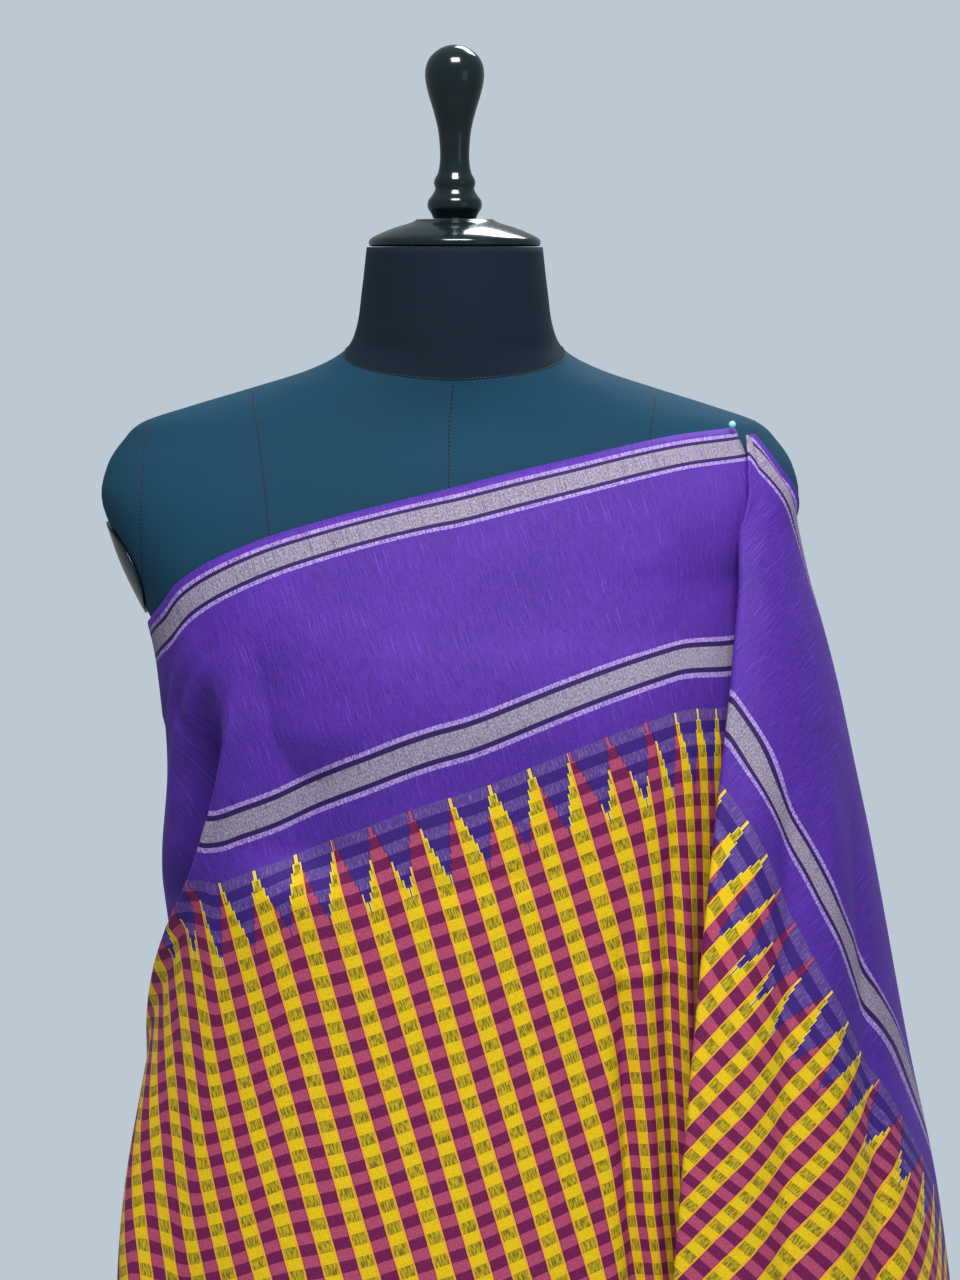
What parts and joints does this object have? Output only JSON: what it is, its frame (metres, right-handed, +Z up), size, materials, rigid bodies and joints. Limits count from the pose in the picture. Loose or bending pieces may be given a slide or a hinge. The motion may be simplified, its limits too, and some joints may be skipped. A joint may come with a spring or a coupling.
{
  "type": "saree on dress form",
  "caption": "Purple and yellow checked saree with temple border, draped across one shoulder of a limbless dress form on a pole and round base.",
  "frame": {"origin": "centre of the stand base's flat underside, on the axis of the pole", "axes": "+Z up along the pole, the front of the garment faces -Y, the wearer's left is +X"},
  "size_m": [0.6354, 0.448, 1.5937],
  "materials": {
    "saree_cloth": "woven silk cotton, purple with yellow and magenta checks and silver zari lines",
    "form_jersey": "dark teal jersey cover",
    "form_gloss": "polished near black",
    "stand_paint": "satin black"
  },
  "bodies": {
    "root": {"form_body": "form_jersey", "neck_cap": "form_gloss", "finial": "form_gloss", "arm_plate_left": "form_gloss", "arm_plate_right": "form_gloss", "pole": "stand_paint", "stand_base": "stand_paint", "skirt_wrap": "saree_cloth", "front_pleats": "saree_cloth", "body_drape": "saree_cloth", "pallu": "saree_cloth"}
  },
  "joints": []
}
